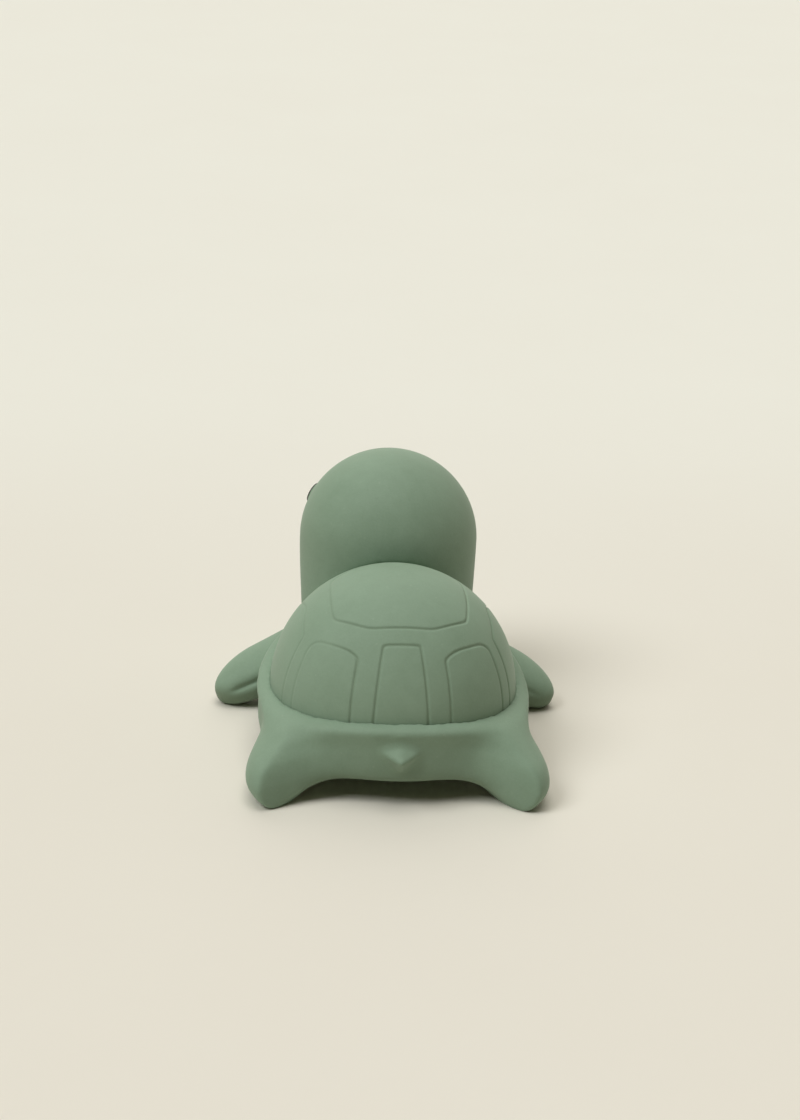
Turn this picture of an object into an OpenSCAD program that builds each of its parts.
// Squeaky bath toy: a hollow rubber sea turtle with a domed shell, painted eyes and a squeaker in its belly.
// Millimetres. Z is up from the floor, +Y is towards the head, +X is the turtle's right side.
// The origin is on the floor under the middle of the toy.

/* [Shell] */
// Radius of the dome
shell_r = 36.6; // [32:0.2:42]
// Height of the dome's centre above the floor
shell_z = 19.8; // [19:0.2:23]
// Rubber thickness of the shell
shell_wall = 2.8; // [1.8:0.1:4]
// Straight skirt under the dome, inside the seat
skirt_h = 2.6; // [1.5:0.1:3.5]
// Clear gap between the shell and its seat
shell_gap = 0.3; // [0.2:0.05:0.5]
// How far the shell can be pressed in
press_travel = 4.5; // [2:0.5:5]

/* [Scutes] */
// Width of the moulded lines round the scutes
scute_line_w = 0.8; // [0.6:0.1:1.6]
// Depth of the moulded lines
scute_line_d = 0.5; // [0.3:0.1:1]
// Half the angle across the top of the rear scute
rear_half_a = 11.3; // [9:0.1:13]
// Angle from straight back where the top of a rear side scute begins
rear_side_from_a = 24.5; // [22:0.5:27]
// Angle where a rear side scute ends
rear_side_to_a = 57.5; // [54:0.5:60]
// Angle where a side scute begins
side_from_a = 66; // [63:0.5:70]
// Angle down from the crown to the top of the rear scute
rear_top_a = 47.5; // [45:0.5:52]
// Angle down from the crown to the top of a rear side scute
rear_side_top_a = 52.5; // [50:0.5:56]
// Angle down from the crown to the point of a side scute
side_peak_a = 46.5; // [45:0.5:50]
// Angle down from the crown to the rear edge of the crown scute
crown_rear_a = 41; // [38:0.5:43]
// Angle down from the crown to the front edge of the crown scute
crown_front_a = 27; // [25:0.5:34]
// Angle by which a corner of a scute is cut back
corner_a = 4; // [2:0.5:6]

/* [Body] */
// Thickness of the rim round the shell
rim_w = 3.5; // [2.8:0.1:4.5]
// Height of the rim at the tail
rim_rear_z = 24.4; // [23:0.2:27]
// Height of the rim at the sides
rim_side_z = 20.6; // [20:0.2:22.6]
// Height of the rim at the front, where it runs into the neck
rim_front_z = 32; // [28:0.5:35]
// Clearance of the belly over the floor
belly_z = 7; // [6.4:0.1:8.4]
// Rubber thickness of the belly round the squeaker
belly_wall = 3; // [2.4:0.1:4]
// Rubber thickness of the head
head_wall = 3; // [2:0.1:5]

/* [Head] */
// Radius of the head
head_r = 27.4; // [24:0.2:29]
// Height of the head's centre
head_z = 49.8; // [46:0.2:53]
// Distance from the shell's axis forward to the head's centre
head_y = 45; // [42:0.5:48]
// Half the width of the neck
neck_half_w = 26; // [23:0.2:27]
// Half the depth of the neck
neck_half_d = 20; // [19:0.2:22]
// Distance from the shell's axis forward to the middle of the neck
neck_y = 37; // [35:0.5:39]
// How far the snout stands out
snout_l = 2.4; // [0:0.2:4]

/* [Limbs] */
// How far a hind foot stands out past the rim
foot_reach = 22.3; // [19:0.1:25]
// Angle from the side round to the middle of a hind foot
foot_a = 45.4; // [43:0.2:48]
// Angle across the outer half of a hind foot
foot_outer_a = 14.6; // [12:0.2:16]
// Angle across the inner half of a hind foot
foot_inner_a = 4.6; // [4:0.1:6]
// Angle by which the sole of a hind foot turns towards the tail
foot_turn_a = 4; // [0:0.5:8]
// Distance from the middle of the toy out to the tip of a flipper
flipper_x = 52.2; // [50:0.2:56]
// Thickness of a flipper
flipper_t = 13.2; // [11:0.2:15]
// Width of a flipper from front to back
flipper_w = 17.2; // [15:0.2:20]
// Angle by which the rear edge of a flipper is turned down
flipper_roll_a = 15; // [5:1:25]
// How far the tail stands out past the rim
tail_l = 4; // [2:0.2:6]
// Width of the tail at its root
tail_d = 12.8; // [9:0.2:14]

/* [Eyes] */
// Diameter of the raised eye
eye_d = 6.6; // [5.8:0.2:8]
// How far the raised eye stands out of the head
eye_h = 0.8; // [0.5:0.1:1.4]
// Angle from straight ahead round to an eye
eye_turn_a = 61; // [56:1:68]
// Angle up from level to an eye
eye_lift_a = 19; // [15:1:26]
// Green edge left round the painted eye
eye_edge = 0.3; // [0.2:0.1:0.8]
// Thickness of the paint
paint_t = 0.3; // [0.2:0.05:0.5]

/* [Squeaker] */
// Diameter of the squeaker in the belly hole
sleeve_d = 14; // [12:0.2:17]
// Height of the squeaker above the belly
sleeve_h = 10.5; // [9.5:0.5:13]
// Wall of the squeaker
sleeve_wall = 1.5; // [1.2:0.1:2]
// Width of the flange under the belly
flange_w = 2.2; // [1.6:0.1:3]
// Thickness of the flange
flange_h = 1.2; // [0.8:0.1:1.4]
// Width of the bead that holds the squeaker in
bead_w = 0.9; // [0.5:0.1:1.4]
// Width of the reed
reed_w = 4; // [3.4:0.1:4.4]
// Thickness of the reed
reed_t = 0.3; // [0.2:0.05:0.4]
// Length of the reed
reed_l = 7.2; // [6.4:0.1:7.6]
// Height of the clamp on the root of the reed
clamp_h = 3.2; // [2.8:0.1:3.6]
// Room on each side of the reed in its slot
reed_gap = 0.15; // [0.12:0.01:0.2]
// Depth of the air channel behind the reed
channel_d = 1.6; // [1.2:0.1:2]

/* [Hidden] */
$fn = 96;
// Overrun of every cut past the face it opens
cut = 1;
// Radius of the seat the shell sits in
seat_r = shell_r + shell_gap;
// Radius of the body round the rim
torso_r = seat_r + rim_w;
// Lowest height of the straight part of the seat, below the pressed shell
seat_z = shell_z - skirt_h - press_travel - shell_gap;
// Height of the inside of the belly
floor_z = belly_z + belly_wall;
// Angles over which the rim begins to climb to the front and reaches its height there
rise_from_a = 10;
rise_over_a = 70;
// Number of steps from the tail to a foot, across a foot, along a side, round the head, round a flipper and
// round the tail
rear_n = 4;
foot_n = 44;
side_n = 22;
head_n = 60;
flipper_n = 28;
tail_n = 24;
// Bore of the squeaker and the ledge that stops the reed holder
bore_r = sleeve_d / 2 - sleeve_wall;
ledge_w = sleeve_wall * 0.8;
ledge_h = flange_h * 0.8;
ledge_z = belly_z - flange_h + ledge_h;
bed_h = sleeve_h * 0.76;
slot_h = reed_t / 2 + reed_gap;
slot_w = reed_w + 2 * reed_gap;
relief_h = slot_h * 3;
// Gap under the reed, above the ledge
reed_lift = reed_gap * 2;

// Levels of the torso from the middle of the belly over the rim to its inner edge. Each row is a share of the
// radius, a share of the height from belly to rim, then shares of the foot's reach, of its drop to the floor
// and of its width.
torso_shares = [
  [0.50, 0.00, 0.00, 0.00, 1.00], [0.80, 0.00, 0.04, 0.70, 0.90], [0.91, 0.005, 0.50, 1.12, 0.75],
  [0.958, 0.03, 0.77, 1.05, 0.95], [0.98, 0.09, 0.865, 0.66, 1.12], [0.988, 0.25, 0.855, 0.48, 1.12],
  [0.988, 0.47, 0.74, 0.34, 1.05], [0.987, 0.67, 0.46, 0.18, 1.10], [0.992, 0.81, 0.24, 0.04, 1.40],
  [1.00, 0.895, 0.11, 0.00, 1.55], [0.986, 0.955, 0.03, 0.00, 1.55], [0.955, 0.992, 0.00, 0.00, 1.00],
  [0.93, 1.00, 0.00, 0.00, 1.00], [0.90, 0.97, 0.00, 0.00, 1.00]];
// Rounding under the chest: each row is a share of the neck's size and a share of the way up to the chest
chest_shares = [[0.68, 0.02], [0.80, 0.13], [0.92, 0.40], [0.98, 0.69]];
// Places of the rings along a flipper and along the tail
flipper_ring_shares = [0, 0.12, 0.25, 0.4, 0.55, 0.68, 0.79, 0.88, 0.94, 0.98, 0.997];
tail_ring_shares = [0, 0.3, 0.5, 0.68, 0.83, 0.95];

function mixed(a, b, t) = a + (b - a) * t;
function eased(t) = t * t * (3 - 2 * t);
// A sine or cosine drawn out so that a round section becomes a diamond with soft corners
function ridged(c) = sign(c) * pow(abs(c), 1.7);
function bump(d, w, p) = exp(-0.7 * pow(abs(d / w), p));
function within(t) = min(1, max(0, t));

// Angle from the side of the toy, 90 at the tail and -90 at the head
function turn(a) = atan2(-sin(a), abs(cos(a)));
// Share of a hind foot at an angle from its crest: full on the outer side and hollow on the inner side
function foot_share(past, wide) =
  past < 0 ? bump(past, wide * foot_outer_a, 2.2) : bump(past, wide * foot_inner_a, 1.05);
// Height of the rim at an angle: it dips at the sides
function rim_z(t) = mixed(mixed(rim_side_z, rim_rear_z, pow(max(0, sin(t)), 3)), rim_front_z,
  eased(within((rise_from_a - t) / rise_over_a)));
// How far the dome has come in at a height: the rim leans in with it
function lean(z) = seat_r - sqrt(pow(seat_r, 2) - pow(max(0, z - shell_z), 2));

// A point of the torso's skin on one level
function torso_point(row, a) =
  let (t = turn(a), g = foot_share(t - foot_a - foot_turn_a * row[3], row[4]))
  let (z = belly_z + (rim_z(t) - belly_z) * row[1] - belly_z * g * row[3])
  let (r = torso_r * row[0] - lean(z) + foot_reach * g * row[2])
  [r * cos(a), r * sin(a), z];
// Angles of the skin's points down one side, closest together across the foot
foot_rear_a = foot_a + foot_turn_a + 4.5 * foot_inner_a;
foot_front_a = foot_a - 2.3 * foot_outer_a;
side_turns = concat([for (i = [0:rear_n - 1]) mixed(90, foot_rear_a, i / rear_n)],
  [for (i = [0:foot_n]) mixed(foot_rear_a, foot_front_a, i / foot_n)],
  [for (i = [1:side_n]) mixed(foot_front_a, -90, i / side_n)]);
last_turn = len(side_turns) - 1;
torso_turns = concat([for (t = side_turns) -t], [for (i = [last_turn - 1:-1:1]) 180 + side_turns[i]]);
torso_rings = [for (row = torso_shares) [for (a = torso_turns) torso_point(row, a)]];

// One ring of the head or neck, drawn out at the front by the snout
function head_ring(y, z, w, d, bulge) =
  [for (i = [0:head_n - 1]) let (a = 360 * i / head_n, f = max(0, sin(a)))
    [w * cos(a), y + d * sin(a) + bulge * f * f * f, z]];
chest_z = mixed(belly_z, shell_z, 0.7);
chest_rings = [for (row = chest_shares)
  head_ring(neck_y, mixed(belly_z, chest_z, row[1]), neck_half_w * row[0], neck_half_d * row[0], 0)];
neck_rings = [for (i = [0:8]) let (t = i / 9, s = eased(t))
  head_ring(mixed(neck_y, head_y, s), mixed(chest_z, head_z, t), mixed(neck_half_w, head_r, s),
    mixed(neck_half_d, head_r, s), snout_l * bump(t - 0.78, 0.2, 2))];
crown_rings = [for (a = [0:10:80])
  head_ring(head_y, head_z + head_r * sin(a), head_r * cos(a), head_r * cos(a),
    snout_l * bump(a + 20, 30, 2))];
head_rings = concat(chest_rings, neck_rings, crown_rings);

// Place of the shell's axis that brings the middle of the toy over the origin
rear_y = min(-torso_r - tail_l, min([for (ring = torso_rings, p = ring) p[1]]));
front_y = max([for (ring = head_rings, p = ring) p[1]]);
axis_y = -(rear_y + front_y) / 2;

// One solid through a stack of rings, closed at both ends by a point
module skin(rings, low, high) {
  n = len(rings[0]);
  m = len(rings);
  points = concat([for (r = rings) each r], [low, high]);
  sides = [for (j = [0:m - 2], i = [0:n - 1]) let (k = (i + 1) % n)
    each [[j * n + i, j * n + n + k, j * n + k], [j * n + i, j * n + n + i, j * n + n + k]]];
  lows = [for (i = [0:n - 1]) [n * m, i, (i + 1) % n]];
  highs = [for (i = [0:n - 1]) [n * m + 1, (m - 1) * n + (i + 1) % n, (m - 1) * n + i]];
  polyhedron(points, concat(sides, lows, highs));
}

// The low round body with its rim and both hind feet
module torso_skin() {
  skin(torso_rings, [0, 0, belly_z], [0, 0, rim_side_z]);
}

// The head and neck, a stack of rings from the chest up to the crown
module head_skin() {
  skin(head_rings, [0, neck_y, belly_z], [0, head_y, head_z + head_r]);
}

// One front flipper, a thick paddle that slopes down and out to the floor
module flipper_skin() {
  root = [head_r * 0.68, neck_y * 1.06, shell_z * 0.825];
  tip = [flipper_x, neck_y * 0.745, flipper_t * 0.2];
  span = tip - root;
  along = span / norm(span);
  level = [-along[1], along[0], 0] / norm([along[0], along[1]]);
  across = level * cos(flipper_roll_a) + cross(along, level) * sin(flipper_roll_a);
  lift = cross(along, across);
  rings = [for (s = flipper_ring_shares)
    let (c = root + span * s + lift * sin(180 * s) * flipper_t * 0.12)
    let (k = s < 0.55 ? 1 + pow(0.55 - s, 2) : sqrt(1 - pow((s - 0.55) / 0.45, 2)))
    [for (i = [0:flipper_n - 1]) let (a = 360 * i / flipper_n, up = sign(sin(a)) * pow(abs(sin(a)), 0.86))
      c + across * (flipper_w / 2 * k * cos(a)) + lift * (flipper_t / 2 * pow(k, 0.6) * up)]];
  skin(rings, root, tip);
}

// The short tail, a four-sided point with its ridges a little rounded
module tail_skin() {
  base = torso_r * 0.94;
  span = torso_r + tail_l - base;
  mid_z = mixed(floor_z, rim_rear_z, 0.55);
  rings = [for (s = tail_ring_shares) let (k = tail_d / 2 * (1 - pow(s, 1.15)))
    [for (i = [0:tail_n - 1]) let (a = 360 * i / tail_n, tall = sin(a) > 0 ? 0.42 : 0.95)
      [k * ridged(cos(a)), -base - span * s, mid_z + k * tall * ridged(sin(a))]]];
  skin(rings, [0, -base, mid_z], [0, -torso_r - tail_l, mid_z]);
}

// Puts its children on the side of the head with Z along the eye's own axis
module at_eye(side) {
  translate([0, head_y, head_z])
    rotate([0, 0, -side * eye_turn_a])
      rotate([eye_lift_a - 90, 0, 0])
        children();
}

// A raised flat boss for one eye
module eye_boss(side) {
  at_eye(side)
    cylinder(h = head_r + eye_h, d1 = eye_d * 0.5, d2 = eye_d);
}

// The whole outside of the rubber body
module body_skin() {
  difference() {
    union() {
      torso_skin();
      head_skin();
      flipper_skin();
      mirror([1, 0, 0]) flipper_skin();
      tail_skin();
      eye_boss(1);
      eye_boss(-1);
    }
    translate([-torso_r * 2, -torso_r * 2, -torso_r])
      cube([torso_r * 4, torso_r * 4, torso_r]);
  }
}

// Upper half of a ball on the shell's centre
module half_ball(r) {
  intersection() {
    translate([0, 0, shell_z]) sphere(r);
    translate([0, 0, shell_z]) cylinder(r = r + cut, h = r + cut);
  }
}

module body() {
  color([0.46, 0.54, 0.42])
    translate([0, axis_y, 0])
      difference() {
        resize([0, 0, 0]) body_skin();
        half_ball(seat_r);
        translate([0, 0, seat_z]) cylinder(r = seat_r, h = shell_z - seat_z);
        translate([0, 0, floor_z]) cylinder(r1 = seat_r - rim_w * 1.6, r2 = seat_r, h = seat_z - floor_z);
        translate([0, head_y, head_z]) sphere(head_r - head_wall);
        translate([0, neck_y, seat_z]) cylinder(r = neck_half_d - head_wall * 1.4, h = head_z - seat_z);
        translate([0, 0, belly_z - cut]) cylinder(d = sleeve_d, h = belly_wall + cut * 2);
      }
}

// A moulded line across the dome between two directions, each an angle from the tail and one from the crown
module scute_line(p, q) {
  a = [sin(p[0]) * sin(p[1]), -cos(p[0]) * sin(p[1]), cos(p[1])];
  b = [sin(q[0]) * sin(q[1]), -cos(q[0]) * sin(q[1]), cos(q[1])];
  n = cross(a, b) / norm(cross(a, b));
  s = cross(n, a);
  sweep = acos(a * b);
  over = asin(scute_line_w / 2 / shell_r);
  inner = shell_r - scute_line_d;
  outer = shell_r + cut;
  steps = max(3, ceil(sweep / 4));
  ring = [for (i = [0:steps]) mixed(-over, sweep + over, i / steps)];
  multmatrix([[a[0], s[0], n[0], 0], [a[1], s[1], n[1], 0], [a[2], s[2], n[2], shell_z], [0, 0, 0, 1]])
    linear_extrude(scute_line_w, center = true)
      polygon(concat([for (t = ring) [inner * cos(t), inner * sin(t)]],
        [for (i = [steps:-1:0]) [outer * cos(ring[i]), outer * sin(ring[i])]]));
}

// Lines through a row of corners
module scute_lines(corners) {
  for (i = [0:len(corners) - 2])
    scute_line(corners[i], corners[i + 1]);
}

// Every scute line on the dome: the crown scute, the rear scute and the pairs down both sides
module scutes() {
  low = 92;
  half_a = 90;
  scute_lines([[-rear_half_a * 1.15, low], [-rear_half_a, rear_top_a], [rear_half_a, rear_top_a],
    [rear_half_a * 1.15, low]]);
  for (side = [-1, 1]) {
    scute_lines([[side * rear_side_from_a * 0.94, low],
      [side * rear_side_from_a, rear_side_top_a + corner_a * 0.7],
      [side * (rear_side_from_a + corner_a * 1.6), rear_side_top_a],
      [side * (rear_side_to_a - corner_a), rear_side_top_a + corner_a * 0.3],
      [side * rear_side_to_a, rear_side_top_a + corner_a * 1.2], [side * rear_side_to_a, low]]);
    scute_lines([[side * side_from_a, low], [side * side_from_a, side_peak_a + corner_a * 2.2],
      [side * half_a * 0.98, side_peak_a], [side * (2 * half_a - side_from_a), side_peak_a + corner_a * 2.2],
      [side * (2 * half_a - side_from_a), low]]);
    scute_lines([[side * (2 * half_a - rear_side_to_a), low],
      [side * (2 * half_a - rear_side_to_a), rear_side_top_a + corner_a * 0.5],
      [side * (2 * half_a - rear_side_from_a), rear_side_top_a], [side * (2 * half_a - rear_side_from_a), low]]);
    scute_lines([[0, crown_rear_a - corner_a * 0.5], [side * half_a * 0.23, crown_rear_a],
      [side * half_a * 0.58, crown_rear_a + corner_a * 0.2],
      [side * half_a * 1.2, mixed(crown_rear_a, crown_front_a, 0.55)],
      [side * half_a * 1.65, crown_front_a], [2 * half_a, crown_front_a - corner_a * 0.7]]);
  }
}

module carapace() {
  color([0.48, 0.56, 0.44])
    translate([0, axis_y, 0])
      difference() {
        union() {
          half_ball(shell_r);
          translate([0, 0, shell_z - skirt_h]) cylinder(r = shell_r, h = skirt_h);
        }
        half_ball(shell_r - shell_wall);
        translate([0, 0, shell_z - skirt_h - cut]) cylinder(r = shell_r - shell_wall, h = skirt_h + cut);
        scutes();
      }
}

// A thin disc of dark paint on the flat of a raised eye, bevelled at its edge
module eye_cap(side) {
  r = eye_d / 2 - eye_edge;
  translate([0, axis_y, 0])
    at_eye(side)
      translate([0, 0, head_r + eye_h])
        cylinder(h = paint_t, r1 = r, r2 = r - paint_t);
}

module left_eye_paint() {
  color([0.08, 0.07, 0.06]) eye_cap(-1);
}

module right_eye_paint() {
  color([0.08, 0.07, 0.06]) eye_cap(1);
}

module squeaker_sleeve() {
  r = sleeve_d / 2;
  color([0.86, 0.85, 0.80])
    translate([0, axis_y, 0])
      difference() {
        union() {
          translate([0, 0, belly_z - flange_h]) cylinder(r = r + flange_w, h = flange_h);
          translate([0, 0, belly_z - flange_h]) cylinder(r = r, h = sleeve_h + flange_h);
          translate([0, 0, floor_z]) cylinder(r1 = r + bead_w, r2 = r, h = bead_w * 2);
        }
        translate([0, 0, ledge_z]) cylinder(r = bore_r, h = sleeve_h + flange_h);
        translate([0, 0, belly_z - flange_h - cut]) cylinder(r = bore_r - ledge_w, h = flange_h + cut);
      }
}

// Half of the round plug in the squeaker's bore, on the tail side or the head side of the reed
module half_plug(side, h) {
  intersection() {
    translate([0, 0, ledge_z]) cylinder(r = bore_r, h = h);
    translate([-bore_r * 2, side < 0 ? -bore_r * 2 : 0, ledge_z]) cube([bore_r * 4, bore_r * 2, h]);
  }
}

module reed_bed() {
  color([0.80, 0.79, 0.74])
    translate([0, axis_y, 0])
      difference() {
        half_plug(-1, bed_h);
        translate([-slot_w / 2, -slot_h, ledge_z - cut]) cube([slot_w, slot_h + cut, bed_h + cut * 2]);
        translate([-bore_r - cut, -relief_h, ledge_z + clamp_h])
          cube([bore_r * 2 + cut * 2, relief_h + cut, bed_h]);
        translate([-reed_w * 0.3, -slot_h - channel_d, ledge_z - cut])
          cube([reed_w * 0.6, channel_d + cut, bed_h + cut * 2]);
      }
}

module reed_clamp() {
  color([0.74, 0.73, 0.69])
    translate([0, axis_y, 0])
      difference() {
        half_plug(1, clamp_h);
        translate([-slot_w / 2, -cut, ledge_z - cut]) cube([slot_w, slot_h + cut, clamp_h + cut * 2]);
      }
}

module reed() {
  color([0.75, 0.72, 0.60])
    translate([-reed_w / 2, axis_y - reed_t / 2, ledge_z + reed_lift])
      cube([reed_w, reed_t, reed_l]);
}

body();
carapace();
left_eye_paint();
right_eye_paint();
squeaker_sleeve();
reed_bed();
reed_clamp();
reed();
